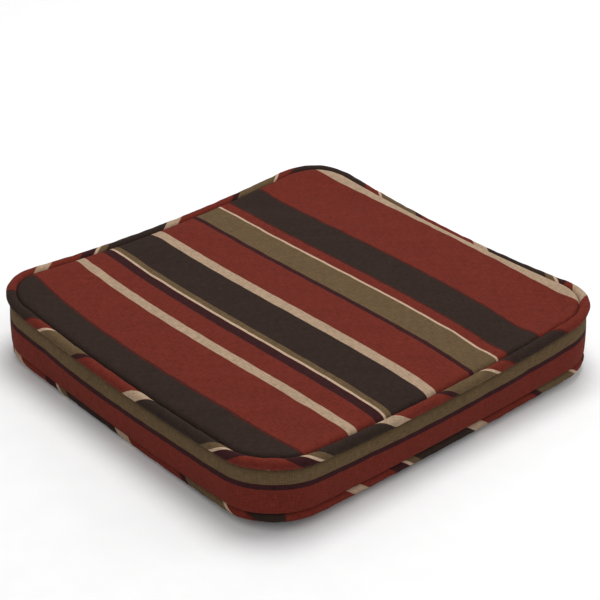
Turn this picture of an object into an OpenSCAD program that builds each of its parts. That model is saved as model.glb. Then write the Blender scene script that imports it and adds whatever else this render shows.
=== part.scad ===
// Boxed and welted seat pad: a foam core in a fibre wrap, inside a zipped fabric cover.
// +Z is up, the front edge faces -Y and the zip runs along the rear (+Y) side.
// The origin is on the surface that the pad rests on, under the middle of its plan.

/* [Pad] */
// Width over the boxing, left to right
pad_w = 508; // [400:1:620]
// Depth over the boxing, front to rear
pad_d = 498; // [400:1:620]
// Corner radius of the boxing in plan
corner_r = 64; // [40:1:90]
// Height of the boxing that shows between the two welts
boxing_h = 57; // [40:1:80]
// Rise of the top panel above its seam, at the middle of the pad
crown_rise = 6; // [4:0.5:25]
// Distance from the seam over which a panel rises to its full height
crown_run = 110; // [60:1:150]

/* [Cover] */
// Thickness of the cover fabric
fabric_t = 0.9; // [0.6:0.1:1.2]
// Width of the seam allowances turned inside the cover
seam_allow = 12; // [8:1:15]
// Outer diameter of the welts
welt_d = 12; // [8:0.5:14]
// Diameter of the seam and topstitch thread
thread_d = 0.5; // [0.3:0.1:0.6]

/* [Filling] */
// Thickness of the fibre wrap on the sides of the foam core
wrap_side = 8; // [6:0.5:15]

/* [Zip] */
// Straight boxing left at each end of the zip panel, before the corner begins
zip_panel_margin = 12; // [4:1:30]
// Distance from the end of the zip panel to the end of the zip chain
zip_end = 14; // [10:1:30]
// Gap between the folded edges of the two plackets
zip_gap = 11; // [10.5:0.1:16]
// Diameter of each half of the zip's coil
coil_d = 2.6; // [2:0.1:3]
// Width of each zip tape, outwards from its coil
tape_w = 13; // [10:0.5:16]
// Thickness of the zip tapes
tape_t = 0.6; // [0.4:0.1:0.8]
// Length of the slider body
slider_l = 13; // [10:0.5:16]
// Thickness of the slider's plates, flanges and post
slider_t = 1.2; // [1:0.1:1.5]
// Radius of the pull tab's cross bar, which is its hinge pin
pin_r = 1; // [0.8:0.1:1.2]
// Width of the pull tab
pull_w = 6.4; // [5.6:0.1:8]
// Length of the pull tab from its hinge
pull_l = 25; // [18:0.5:35]
// Thickness of the pull tab
pull_t = 1.4; // [1.2:0.1:1.6]

/* [Label] */
// Width of the care label
label_w = 40; // [25:1:60]
// Thickness of the care label
label_t = 0.4; // [0.3:0.1:0.5]

/* [Hidden] */
$fn = 96;

// Clearances: between layers that lie on each other, and between moving and fixed pieces
layer_gap = 0.05;
run_gap = 0.3;
pin_gap = 0.05;

// Heights of the two welt centres, and of the zip between them
welt_r = welt_d / 2;
welt_low_z = welt_r;
welt_high_z = welt_low_z + boxing_h + welt_d;
mid_z = (welt_low_z + welt_high_z) / 2;
foam_t = boxing_h;

// Seam bundle beside each welt: boxing, casing (two plies) and panel, and the thread below them
ply_out = 2 * fabric_t;
bundle_in = welt_r + seam_allow + layer_gap;
bundle_t = ply_out + thread_d + layer_gap;
thread_inset = welt_r + 1.5;
inner_inset = ply_out + layer_gap;
foam_inset = inner_inset + wrap_side;
// The lower panel drops until it is level with the underside of the welt
lower_rise = welt_r - ply_out - fabric_t;
crown_steps = 5;
crown_fn = 32;
sheet = 0.01;
// How far a cutting block passes the piece that it cuts
over_cut = 1;

// Zip places
rear_y = pad_d / 2;
zip_panel_w = pad_w - 2 * corner_r - 2 * zip_panel_margin;
zip_len = zip_panel_w - 2 * zip_end;
zip_y = rear_y - ply_out - tape_t / 2;
coil_r = coil_d / 2;
post_t = slider_t;
coil_z = post_t / 2 + run_gap + coil_r;
tape_edge = coil_z + coil_r;
stop_l = 4;
// The tapes and topstitching stop this far from the ends of the zip panel
row_end = 1;
// Free room round the tapes and the inside of the slider
bay_room = 1;
stitch_edge = 2.5;
stitch_z = zip_gap / 2 + stitch_edge;

// Slider and pull places, measured from the zip's centre line
channel_z = tape_edge + run_gap;
slider_z = channel_z + slider_t;
plate_y = coil_r + run_gap;
slot_y = tape_t / 2 + run_gap;
slider_x = zip_len / 2 - run_gap - slider_l / 2;
post_l = 3;
lug_t = 1.6;
lug_r = pin_r + pin_gap + slider_t;
arm_r = pin_r + 0.3;
hinge_y = zip_y + plate_y + slider_t + run_gap + arm_r;
arm_in = lug_t / 2 + run_gap;
tab_start = lug_r + 2 * run_gap;
tab_hole_r = 1.4;
tab_hole_x = 3.5;
label_gap = 1;
label_h = boxing_h / 2 - stitch_z - label_gap;

// Outline of the pad in plan, moved inwards by inset
module plan(inset) {
    w = pad_w - 2 * inset;
    d = pad_d - 2 * inset;
    r = max(corner_r - inset, 5);
    square([w - 2 * r, d], center = true);
    square([w, d - 2 * r], center = true);
    for (sx = [-1, 1], sy = [-1, 1])
        translate([sx * (w / 2 - r), sy * (d / 2 - r)]) circle(r);
}

module slab(inset, z0, z1) {
    translate([0, 0, z0]) linear_extrude(z1 - z0) plan(inset);
}

module band(outer, inner, z0, z1) {
    difference() {
        slab(outer, z0, z1);
        slab(inner, z0 - over_cut, z1 + over_cut);
    }
}

// Round cord of radius r laid along the outline at height z
module cord_loop(r, z, inset = 0) {
    bend = corner_r - inset;
    x = pad_w / 2 - corner_r;
    y = pad_d / 2 - corner_r;
    translate([0, 0, z]) {
        for (s = [-1, 1]) {
            translate([-x, s * (y + bend), 0]) rotate([0, 90, 0]) cylinder(r = r, h = 2 * x);
            translate([s * (x + bend), -y, 0]) rotate([-90, 0, 0]) cylinder(r = r, h = 2 * y);
        }
        for (q = [0:3])
            translate([(q == 0 || q == 3 ? 1 : -1) * x, (q < 2 ? 1 : -1) * y, 0])
                rotate([0, 0, 90 * q]) rotate_extrude(angle = 90) translate([bend, 0]) circle(r);
    }
}

// Filled crown: a flat base at z0 that rises by a quarter ellipse to z0 + rise
module crown(inset, z0, rise) {
    hull()
        for (i = [0:crown_steps])
            translate([0, 0, z0 + rise * sin(90 * i / crown_steps)])
                linear_extrude(sheet)
                    plan(inset + crown_run * (1 - cos(90 * i / crown_steps)), $fn = crown_fn);
}

// Panel with its seam allowance folded under it, for the upper side of a welt at height z
module panel(z, rise) {
    difference() {
        crown(welt_r, z + ply_out, rise + fabric_t);
        crown(welt_r + fabric_t, z + ply_out - fabric_t, rise + fabric_t);
    }
    band(welt_r, bundle_in - layer_gap, z + fabric_t, z + ply_out);
}

// Turns a piece made for the upper side of the pad into its copy on the lower side
module lower_side() {
    translate([0, 0, 2 * mid_z]) mirror([0, 0, 1]) children();
}

// Boxing wall and its allowances, which bend round the welts and turn inwards
module boxing(wall) {
    difference() {
        union() {
            band(0, wall, welt_low_z, welt_high_z);
            half_turn();
            lower_side() half_turn();
        }
        cord_loop(welt_r + layer_gap, welt_low_z);
        cord_loop(welt_r + layer_gap, welt_high_z);
    }
}

// Upper allowance of the boxing: under the casing's flange, joined to the wall round the welt
module half_turn() {
    band(welt_r - layer_gap, bundle_in - layer_gap, welt_high_z - ply_out,
        welt_high_z - fabric_t - layer_gap);
    intersection() {
        cord_loop(welt_r + fabric_t + layer_gap, welt_high_z);
        slab(0, welt_high_z - welt_d, welt_high_z - fabric_t - layer_gap);
    }
}

// Block of the rear side that the zip panel takes, between two heights
module rear_block(z0, z1) {
    translate([-zip_panel_w / 2, rear_y - corner_r / 2, z0]) cube([zip_panel_w, corner_r, z1 - z0]);
}

// Casing: a fabric tube round the cord, with a flange of two plies
module casing(z) {
    difference() {
        union() {
            cord_loop(welt_r, z);
            band(welt_r - fabric_t / 2, bundle_in - layer_gap, z - fabric_t + layer_gap,
                z + fabric_t - layer_gap);
        }
        cord_loop(welt_r - fabric_t, z);
    }
}

// Upper half of the space inside the cover, under a panel that rises by rise
module filling_space(rise) {
    shoulder_z = welt_high_z - bundle_t;
    difference() {
        slab(inner_inset, mid_z, shoulder_z);
        cord_loop(welt_r + fabric_t + 2 * layer_gap, welt_high_z);
    }
    crown(bundle_in + layer_gap, shoulder_z - sheet, rise + ply_out + bundle_t - layer_gap);
}

// Room behind the plackets for the tapes and the inside of the slider
module zip_bay() {
    bay_d = ply_out + tape_t / 2 + plate_y + slider_t + bay_room;
    bay_h = tape_edge + tape_w + bay_room;
    translate([-zip_panel_w / 2, rear_y - bay_d, mid_z - bay_h])
        cube([zip_panel_w, bay_d, 2 * bay_h]);
}

module foam_core() color("#e8dfb8")
    slab(foam_inset, mid_z - foam_t / 2, mid_z + foam_t / 2);

module wrap_half(rise) {
    difference() {
        filling_space(rise);
        slab(foam_inset - layer_gap, mid_z - foam_t, mid_z + foam_t / 2 + layer_gap);
        zip_bay();
    }
}

module upper_wrap() color("#f4f4f0") wrap_half(crown_rise);
module lower_wrap() color("#f4f4f0") lower_side() wrap_half(lower_rise);
module top_panel() color("#6f2f26") panel(welt_high_z, crown_rise);
module bottom_panel() color("#6f2f26") lower_side() panel(welt_high_z, lower_rise);

module boxing_strip() color("#58251f")
    difference() {
        boxing(fabric_t);
        rear_block(-over_cut, welt_high_z + welt_d);
    }

module placket(z0, z1) {
    intersection() {
        boxing(ply_out);
        rear_block(z0, z1);
    }
}

module placket_upper() color("#4d4030") placket(mid_z + zip_gap / 2, welt_high_z);
module placket_lower() color("#58251f") placket(welt_low_z, mid_z - zip_gap / 2);
module top_welt_casing() color("#71342b") casing(welt_high_z);
module bottom_welt_casing() color("#71342b") casing(welt_low_z);
module top_welt_cord() color("#f0ece0") cord_loop(welt_r - fabric_t - layer_gap, welt_high_z);
module bottom_welt_cord() color("#f0ece0") cord_loop(welt_r - fabric_t - layer_gap, welt_low_z);
module top_seam_thread() color("#2a1a16")
    cord_loop(thread_d / 2, welt_high_z - ply_out - thread_d / 2, thread_inset);
module bottom_seam_thread() color("#2a1a16") lower_side() top_seam_thread();

// Upper tape and its coil; the lower ones are their mirror images
module tape() {
    translate([-zip_panel_w / 2 + row_end, zip_y - tape_t / 2, mid_z + tape_edge])
        cube([zip_panel_w - 2 * row_end, tape_t - layer_gap, tape_w]);
}

module coil() {
    translate([-zip_len / 2, zip_y, mid_z + coil_z]) rotate([0, 90, 0]) cylinder(r = coil_r, h = zip_len);
}

module zip_tape_upper() color("#2b211d") tape();
module zip_tape_lower() color("#2b211d") lower_side() tape();
module zip_coil_upper() color("#241b18") coil();
module zip_coil_lower() color("#241b18") lower_side() coil();

// Block that closes the open end of the chain, between the tapes
module zip_bottom_stop() color("#8a7a58")
    translate([-zip_len / 2 - stop_l, zip_y - coil_r, mid_z - tape_edge + layer_gap])
        cube([stop_l, coil_d, 2 * (tape_edge - layer_gap)]);

// Two clips, one at the closed end of each coil
module zip_top_stops() color("#8a7a58")
    for (s = [-1, 1])
        translate([zip_len / 2, zip_y - coil_r, mid_z + s * coil_z - coil_r + layer_gap])
            cube([stop_l / 2, coil_d, coil_d - 2 * layer_gap]);

// Topstitch rows that hold the plackets to the tapes
module zip_stitching() color("#6b4a3a")
    for (s = [-1, 1])
        translate([-zip_panel_w / 2 + row_end, rear_y + thread_d / 2, mid_z + s * stitch_z])
            rotate([0, 90, 0]) cylinder(r = thread_d / 2, h = zip_panel_w - 2 * row_end);

// Blank label caught in the lower rear seam, lying up against the lower placket
module care_label() color("#e9e6df")
    translate([-zip_panel_w / 4 - label_w / 2, rear_y + layer_gap, welt_low_z + welt_r + layer_gap])
        cube([label_w, label_t, label_h]);

// One plate of the slider, with the flanges that close in on the tapes
module slider_plate() {
    translate([-slider_l / 2, plate_y, -slider_z]) cube([slider_l, slider_t, 2 * slider_z]);
    for (s = [-1, 1])
        translate([-slider_l / 2, slot_y, s * (channel_z + slider_t / 2) - slider_t / 2])
            cube([slider_l, plate_y - slot_y, slider_t]);
}

module zip_slider() color("#7d6a48") {
    translate([slider_x, zip_y, mid_z]) {
        slider_plate();
        mirror([0, 1, 0]) slider_plate();
        translate([slider_l / 2 - post_l, -plate_y, -post_t / 2]) cube([post_l, 2 * plate_y, post_t]);
    }
    slider_lug();
}

// Lug on the outer plate, with the bore that the pull tab turns in
module slider_lug() {
    lug_base = zip_y + plate_y + slider_t / 2;
    translate([slider_x, 0, mid_z - lug_t / 2])
        difference() {
            union() {
                translate([0, hinge_y, 0]) cylinder(r = lug_r, h = lug_t);
                translate([-lug_r, lug_base, 0]) cube([2 * lug_r, hinge_y - lug_base, lug_t]);
            }
            translate([0, hinge_y, -1]) cylinder(r = pin_r + pin_gap, h = lug_t + 2);
        }
}

// Pull tab lying along the chain towards -X, with a cross bar through the lug
module zip_pull() color("#7d6a48")
    translate([slider_x, hinge_y, mid_z]) {
        translate([0, 0, -pull_w / 2]) cylinder(r = pin_r, h = pull_w);
        for (s = [-1, 1])
            translate([0, 0, s * (arm_in + pull_w / 2) / 2]) pull_arm(pull_w / 2 - arm_in);
        difference() {
            translate([-pull_l, -pull_t / 2, -pull_w / 2]) cube([pull_l - tab_start, pull_t, pull_w]);
            translate([-pull_l + tab_hole_x, -pull_t, 0])
                rotate([-90, 0, 0]) cylinder(r = tab_hole_r, h = 2 * pull_t);
        }
    }

module pull_arm(w) {
    translate([0, 0, -w / 2]) cylinder(r = arm_r, h = w);
    translate([-tab_start - 1, -pull_t / 2, -w / 2]) cube([tab_start + 1, pull_t, w]);
}

foam_core();
upper_wrap();
lower_wrap();
top_panel();
bottom_panel();
boxing_strip();
placket_upper();
placket_lower();
top_welt_casing();
bottom_welt_casing();
top_welt_cord();
bottom_welt_cord();
top_seam_thread();
bottom_seam_thread();
zip_tape_upper();
zip_tape_lower();
zip_coil_upper();
zip_coil_lower();
zip_bottom_stop();
zip_top_stops();
zip_stitching();
care_label();
zip_slider();
zip_pull();
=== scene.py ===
"""Looks of a boxed, welted seat pad: a zipped striped cover over a fibre-wrapped foam core.

Every piece is shaped by one PadShape, which knows how the seams run round the pad, how far
they hang between the corners and how the panels and the boxing swell between them.
"""

import logging
import math
from dataclasses import dataclass, field
from enum import Enum
from typing import Callable

import bmesh
import bpy
import numpy as np
from mathutils import Matrix, Vector


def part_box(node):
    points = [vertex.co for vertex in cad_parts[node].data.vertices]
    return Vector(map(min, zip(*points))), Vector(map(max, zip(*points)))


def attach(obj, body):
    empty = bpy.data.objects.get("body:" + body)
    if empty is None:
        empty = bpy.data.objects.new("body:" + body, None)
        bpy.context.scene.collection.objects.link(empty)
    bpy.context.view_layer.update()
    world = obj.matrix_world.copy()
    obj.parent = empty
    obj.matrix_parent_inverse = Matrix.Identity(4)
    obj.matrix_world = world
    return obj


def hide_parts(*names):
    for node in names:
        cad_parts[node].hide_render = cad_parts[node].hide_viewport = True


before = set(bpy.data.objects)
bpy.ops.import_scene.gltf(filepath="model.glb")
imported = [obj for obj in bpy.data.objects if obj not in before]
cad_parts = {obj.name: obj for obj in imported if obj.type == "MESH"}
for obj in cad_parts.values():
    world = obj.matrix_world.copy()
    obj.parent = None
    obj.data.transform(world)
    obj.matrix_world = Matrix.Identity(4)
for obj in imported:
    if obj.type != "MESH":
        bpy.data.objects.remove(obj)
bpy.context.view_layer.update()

LOG = logging.getLogger("seat_pad")
Array = np.ndarray
Colour = tuple[float, float, float]
Socket = bpy.types.NodeSocket
Placer = Callable[[Array, Array], Array]
Cutter = Callable[[Array], Array]

# Corner radius of the boxing, which no box in the frame tells.
CORNER_R = 0.0645
# Share of its thickness that cloth keeps where it is folded and pressed.
PRESSED = 0.8


class Side(Enum):
    """The sides of the pad, in the order in which a seam passes them."""

    FRONT = 0
    RIGHT = 1
    REAR = 2
    LEFT = 3


class Level(Enum):
    """The upper or the lower seam of the boxing."""

    TOP = 1
    LOW = -1


@dataclass(frozen=True)
class Round:
    """A value that changes round the pad: at its corners and at the middles of its sides."""

    corners: tuple[float, float, float, float]
    sides: tuple[float, float, float, float]

    def at(self, side: Array, reach: Array) -> Array:
        """Reads the value.

        Args:
            side: The number of the side of each point.
            reach: How far along the side's half length each point is, from -1 to 1.

        Returns:
            One value for each point.
        """
        corner = np.asarray(self.corners)[np.where(reach < 0, side, (side + 1) % 4)]
        return np.asarray(self.sides)[side] * (1.0 - reach**2) + corner * reach**2


@dataclass(frozen=True)
class Crown:
    """The smooth form of the top panel away from its seam, in metres."""

    level: float = 0.0775
    lean_x: float = 0.0017
    lean_y: float = -0.0070
    roll: float = 0.0065
    twist: float = 0.0017
    saddle_x: float = -0.0061
    saddle_y: float = 0.0030

    def height(self, u: Array, v: Array) -> Array:
        """Heights of the panel.

        Args:
            u: Shares of the half width, from -1 at the left to 1 at the right.
            v: Shares of the half depth, from -1 at the front to 1 at the rear.

        Returns:
            The heights.
        """
        lean = self.lean_x * u + self.lean_y * v + self.roll * v**3
        saddle = self.saddle_x * u * v**2 + self.saddle_y * u**2 * v
        return self.level + lean + self.twist * u * v + saddle


@dataclass
class PadShape:
    """The outline of the pad and the heights and bulges of its seams and panels, in metres.

    Attributes:
        half_w: Half the width over the boxing.
        half_d: Half the depth over the boxing.
        corner_r: Corner radius of the boxing.
        welt_r: Half a welt's thickness.
        low_z: Height of the lower welt in the frame.
        high_z: Height of the upper welt in the frame.
        zip_z: Height of the zip's chain.
        top_lift: How far the upper welt rises above high_z.
        low_lift: How far the lower welt rises above low_z.
        tuck: How far the lower welt is drawn in.
        swell: How far the boxing bulges at half its height.
        cover: The angle round the lower welt, in degrees, at which the boxing leaves it.
        top_inset: How far the upper welt lies inside the outline.
        seam_deg: The angle round a welt at which the seam lies behind it.
        shoulder_run: The distance over which a panel rolls down to its seam.
        brow: Height of the top panel's roll above the upper welt.
        brow_run: The distance over which the top panel goes from its roll to its crown.
        brow_fade: How suddenly it does so.
        crown: The form of the top panel away from its seam.
        ground_gap: Height of the bottom panel's underside where it lies flat.
        ground_drop: How far the bottom panel's shoulder lies below the lower welt.
        low_run: The distance over which the bottom panel comes down flat.
        samples: How many steps the tables have.
        soften: The length over which the tables are rounded off.
        tables: Heights and bulges at even steps round the pad.
    """

    half_w: float
    half_d: float
    corner_r: float
    welt_r: float
    low_z: float
    high_z: float
    zip_z: float
    top_lift: Round = Round((0.0075, 0.0098, 0.0078, 0.0088), (-0.0040, -0.0062, -0.0065, -0.0042))
    low_lift: Round = Round((0.0105, 0.0095, 0.0063, 0.0063), (0.0050, 0.0, 0.0, 0.0))
    tuck: Round = Round((0.003, 0.003, 0.002, 0.003), (0.002, 0.002, 0.0015, 0.005))
    swell: Round = Round((0.001, 0.001, 0.0005, 0.001), (0.0030, 0.0030, -0.0012, 0.0035))
    cover: Round = Round((35.0, 40.0, 60.0, 30.0), (42.0, 40.0, 70.0, 22.0))
    top_inset: float = 0.0012
    seam_deg: float = 225.0
    shoulder_run: float = 0.0055
    brow: Round = Round((0.0050, 0.0040, 0.0055, 0.0040), (0.0060, 0.0105, 0.0045, 0.0060))
    brow_run: float = 0.031
    brow_fade: float = 1.5
    crown: Crown = Crown()
    ground_gap: float = 0.0004
    ground_drop: float = 0.003
    low_run: float = 0.050
    samples: int = 2048
    soften: float = 0.011
    tables: dict[str, Array] = field(default_factory=dict, init=False)

    def __post_init__(self) -> None:
        """Tabulates the heights and bulges round the pad, rounded off at the corners."""
        s = np.arange(self.samples) / self.samples
        _, side, reach = self.way(s)
        self.tables["top"] = self.high_z + self.top_lift.at(side, reach)
        self.tables["low"] = self.low_z + self.low_lift.at(side, reach)
        self.tables["tuck"] = self.tuck.at(side, reach)
        self.tables["swell"] = self.swell.at(side, reach)
        self.tables["cover"] = self.cover.at(side, reach)
        self.tables["brow"] = self.tables["top"] + self.brow.at(side, reach)
        for name, values in self.tables.items():
            self.tables[name] = self.smoothed(values)

    def smoothed(self, values: Array) -> Array:
        """Rounds off a closed row of values with a bell-shaped window.

        Args:
            values: One value for each step round the pad.

        Returns:
            The rounded values, as many as before.
        """
        step = self.length() / self.samples
        waves = np.fft.rfftfreq(self.samples, step)
        keep = np.exp(-2.0 * (math.pi * self.soften * waves) ** 2)
        return np.fft.irfft(np.fft.rfft(values) * keep, self.samples)

    def table(self, name: str, s: Array) -> Array:
        """Reads a table at shares s of the way round."""
        row = self.tables[name]
        return np.interp(np.mod(s, 1.0), np.arange(len(row) + 1) / len(row), np.append(row, row[0]))

    def side_length(self, side: Array) -> Array:
        """Lengths of sides along the outline, from corner middle to corner middle."""
        half = np.where(np.asarray(side) % 2 == 0, self.half_w, self.half_d)
        return 2.0 * (half - self.corner_r * (1.0 - math.pi / 4.0))

    def length(self) -> float:
        """Length of the whole outline."""
        return float(self.side_length(np.arange(4)).sum())

    def side_run(self, side: Side) -> float:
        """Length of seam along one side, from corner middle to corner middle."""
        return float(self.side_length(np.array(side.value)))

    def rear_middle(self) -> float:
        """Length of seam from the front left corner to the middle of the rear."""
        return self.side_run(Side.FRONT) + self.side_run(Side.RIGHT) + self.side_run(Side.REAR) / 2

    def run(self, s: Array) -> Array:
        """Lengths of seam from the front left corner.

        Args:
            s: Shares of the way round the pad.

        Returns:
            The length of seam up to each share.
        """
        turn = np.asarray(s, float) * 4.0
        side = np.minimum(np.floor(turn).astype(int), 3)
        starts = np.append(0.0, np.cumsum(self.side_length(np.arange(4))))
        return starts[side] + (turn - side) * self.side_length(side)

    def share(self, run: Array) -> Array:
        """The share of the way round at a length of seam from the front left corner."""
        starts = np.append(0.0, np.cumsum(self.side_length(np.arange(4))))
        return np.interp(run, starts, np.linspace(0.0, 1.0, 5))

    def way(self, s: Array) -> tuple[Array, Array, Array]:
        """Where shares s of the way round lie.

        Args:
            s: Shares of the way round, from the middle of the front left corner.

        Returns:
            The place on the side from -1 to 1, the number of the side, and how far along
            the side's half length the point is, from -1 to 1.
        """
        turn = np.mod(s, 1.0) * 4.0
        side = np.floor(turn).astype(int) % 4
        place = 2.0 * (turn - np.floor(turn)) - 1.0
        points, _ = self.ring(s, self.half_w, self.half_d, self.corner_r)
        flat = side % 2 == 0
        reach = np.where(flat, points[:, 0] / self.half_w, points[:, 1] / self.half_d)
        reach = np.where(side < 2, reach, -reach)
        return place, side, reach

    @staticmethod
    def ring(s: Array, half_w: Array, half_d: Array, radius: Array) -> tuple[Array, Array]:
        """Points on rounded rectangles at shares s of the way round them.

        Args:
            s: Shares of the way round, from the middle of the front left corner.
            half_w: Half width of each point's rectangle.
            half_d: Half depth of each point's rectangle.
            radius: Corner radius of each point's rectangle.

        Returns:
            The points and their outward directions, two numbers each.
        """
        turn = np.mod(np.asarray(s, float), 1.0) * 4.0
        side = np.floor(turn).astype(int) % 4
        place = 2.0 * (turn - np.floor(turn)) - 1.0
        flat = side % 2 == 0
        along, across = np.where(flat, half_w, half_d), np.where(flat, half_d, half_w)
        radius = np.maximum(radius, 1e-6) * np.ones_like(place)
        straight = along - radius
        p = place * (straight + radius * math.pi / 4.0)
        bend = np.clip((np.abs(p) - straight) / radius, 0.0, math.pi / 4.0)
        x = np.sign(p) * np.where(bend > 0, straight + radius * np.sin(bend), np.abs(p))
        y = -(across - radius) - radius * np.cos(bend)
        nx, ny = np.sign(p) * np.sin(bend), -np.cos(bend)
        cos, sin = np.array([1, 0, -1, 0])[side], np.array([0, 1, 0, -1])[side]
        return (
            np.c_[x * cos - y * sin, x * sin + y * cos],
            np.c_[nx * cos - ny * sin, nx * sin + ny * cos],
        )

    def seam(self, s: Array, out: Array) -> tuple[Array, Array]:
        """Points of the outline moved outwards by out, and their outward directions."""
        points, normals = self.ring(s, self.half_w, self.half_d, self.corner_r)
        return points + normals * np.reshape(out * np.ones(len(points)), (-1, 1)), normals

    def welt_out(self, s: Array, level: Level) -> Array:
        """How far a welt's centre line lies outside the outline.

        Args:
            s: Shares of the way round the pad.
            level: Which welt.

        Returns:
            One distance for each share, below zero inside the outline.
        """
        if level is Level.TOP:
            return np.full(len(s), -self.top_inset)
        return -self.table("tuck", s)

    def welt_height(self, s: Array, level: Level) -> Array:
        """Heights of a welt's centre line."""
        return self.table("top" if level is Level.TOP else "low", s)

    def round_welt(self, s: Array, level: Level, degrees: Array, radius: Array) -> Array:
        """Points round a welt.

        Args:
            s: Shares of the way round the pad.
            level: Which welt.
            degrees: Angles round the welt: 0 points out of the pad and 90 up.
            radius: Distances from the welt's centre line.

        Returns:
            The points, three numbers each.
        """
        angle = np.radians(degrees * np.ones(len(s)))
        out = self.welt_out(s, level) + radius * np.cos(angle)
        points, _ = self.seam(s, out)
        return np.c_[points, self.welt_height(s, level) + radius * np.sin(angle)]

    def seam_inset(self) -> float:
        """How far a panel's seam lies inside the outline."""
        return self.top_inset - self.welt_r * math.cos(math.radians(self.seam_deg))

    def seam_drop(self) -> float:
        """How far the upper seam lies below its welt's centre line, as a number below zero."""
        return self.welt_r * math.sin(math.radians(self.seam_deg))

    def shouldered(self, plain: Array, seam: Array, depth: Array) -> Array:
        """Rounds a panel over to its seam.

        Args:
            plain: Heights of the panel as it would be without a seam.
            seam: Heights of the seam.
            depth: Distances from the seam.

        Returns:
            The heights of the panel.
        """
        near = np.clip(1.0 - depth / self.shoulder_run, 0.0, 1.0)
        return plain + (seam - plain) * (1.0 - np.sqrt(1.0 - near**2))

    def panel_ring(self, s: Array, inner: Array) -> tuple[Array, Array, Array]:
        """Plan positions on a panel.

        Args:
            s: Shares of the way round.
            inner: 1 at the panel's seam and 0 at the middle of the pad.

        Returns:
            The points, their outward directions and their distances from the seam.
        """
        edge = self.seam_inset()
        half_w, half_d = self.half_w - edge, self.half_d - edge
        inset = (1.0 - inner) * half_w
        radius = np.maximum(self.corner_r - edge - inset, 0.0)
        points, normals = self.ring(s, half_w * inner, half_d * inner, radius)
        return points, normals, inset

    def top_height(self, s: Array, inner: Array) -> Array:
        """Heights of the top panel.

        Args:
            s: Shares of the way round.
            inner: The ring of each point, as in panel_ring.

        Returns:
            The heights.
        """
        points, _, depth = self.panel_ring(s, inner)
        plain = self.crown.height(points[:, 0] / self.half_w, points[:, 1] / self.half_d)
        plain += (self.table("brow", s) - plain) * np.exp(-((depth / self.brow_run) ** self.brow_fade))
        return self.shouldered(plain, self.table("top", s) + self.seam_drop(), depth)

    def low_height(self, s: Array, inner: Array) -> Array:
        """Heights of the bottom panel, which lies flat away from its seam.

        Args:
            s: Shares of the way round.
            inner: The ring of each point, as in panel_ring.

        Returns:
            The heights.
        """
        _, _, depth = self.panel_ring(s, inner)
        low = self.table("low", s)
        shoulder = np.maximum(low - self.ground_drop, 0.0)
        plain = self.ground_gap + shoulder * np.exp(-((depth / self.low_run) ** 2))
        return self.shouldered(plain, low - self.seam_drop(), depth)


def read_shape() -> PadShape:
    """Reads the pad's sizes from the frame.

    Returns:
        The shape that all pieces are made from.
    """
    band, top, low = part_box("boxing_strip"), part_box("top_welt_casing"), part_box("bottom_welt_casing")
    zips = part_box("zip_bottom_stop")
    return PadShape(
        half_w=band[1].x,
        half_d=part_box("placket_upper")[1].y,
        corner_r=CORNER_R,
        welt_r=top[1].x - band[1].x,
        low_z=(low[0].z + low[1].z) / 2,
        high_z=(top[0].z + top[1].z) / 2,
        zip_z=(zips[0].z + zips[1].z) / 2,
    )


def dressed(name: str, mesh: bpy.types.Mesh, finish: bpy.types.Material) -> bpy.types.Object:
    """Puts a mesh into the scene with a finish on it.

    Args:
        name: The name of the piece.
        mesh: Its mesh, in the frame's own coordinates.
        finish: Its material.

    Returns:
        The new object, at the origin.
    """
    mesh.polygons.foreach_set("use_smooth", [True] * len(mesh.polygons))
    mesh.materials.append(finish)
    piece = bpy.data.objects.new(name, mesh)
    bpy.context.scene.collection.objects.link(piece)
    return piece


def outward(mesh: bpy.types.Mesh, centre: Vector) -> None:
    """Turns a mesh's faces over together if most of them look inwards.

    Args:
        mesh: The mesh.
        centre: A point on its inner side.
    """
    facing = sum(f.area * f.normal.dot(f.center - centre) for f in mesh.polygons)
    if facing < 0:
        mesh.flip_normals()


def points_of(mesh: bpy.types.Mesh) -> Array:
    """Reads a mesh's points.

    Args:
        mesh: The mesh.

    Returns:
        Its points as rows of three numbers.
    """
    flat = np.zeros(len(mesh.vertices) * 3)
    mesh.vertices.foreach_get("co", flat)
    return flat.reshape(-1, 3)


@dataclass(frozen=True)
class WovenGrid:
    """A piece of cloth made as a flat grid and then laid over its place.

    Attributes:
        name: The name of the piece.
        across: How many faces it has one way.
        along: How many faces it has the other way.
        place: Where the grid's points lie on the pad.
        cut: Where its faces' corners lie on the flat cut.
        closed: Whether its edges meet and are joined.
    """

    name: str
    across: int
    along: int
    place: Placer
    cut: Cutter
    closed: bool = False

    def mesh(self, centre: Vector) -> bpy.types.Mesh:
        """Makes the mesh, with the flat cut kept in its UV map, in metres.

        Args:
            centre: A point on the inner side of the cloth.

        Returns:
            The mesh, whose faces look away from centre.
        """
        bm = bmesh.new()
        bmesh.ops.create_grid(bm, x_segments=self.across, y_segments=self.along, size=0.5)
        bm.loops.layers.uv.new("cut")
        mesh = bpy.data.meshes.new(self.name)
        bm.to_mesh(mesh)
        bm.free()
        flat = points_of(mesh) + 0.5
        corner = np.zeros(len(mesh.loops), int)
        mesh.loops.foreach_get("vertex_index", corner)
        middle = np.repeat(flat[corner].reshape(-1, 4, 3).mean(1), 4, axis=0)
        uv = self.cut(np.c_[flat[corner][:, :2], middle[:, :2]])
        mesh.uv_layers["cut"].data.foreach_set("uv", uv.ravel())
        placed = self.place(flat[:, 0], flat[:, 1])
        mesh.vertices.foreach_set("co", placed.ravel())
        if self.closed:
            bm = bmesh.new()
            bm.from_mesh(mesh)
            bmesh.ops.remove_doubles(bm, verts=bm.verts, dist=2e-6)
            bm.to_mesh(mesh)
            bm.free()
        mesh.update()
        outward(mesh, centre)
        return mesh


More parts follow.
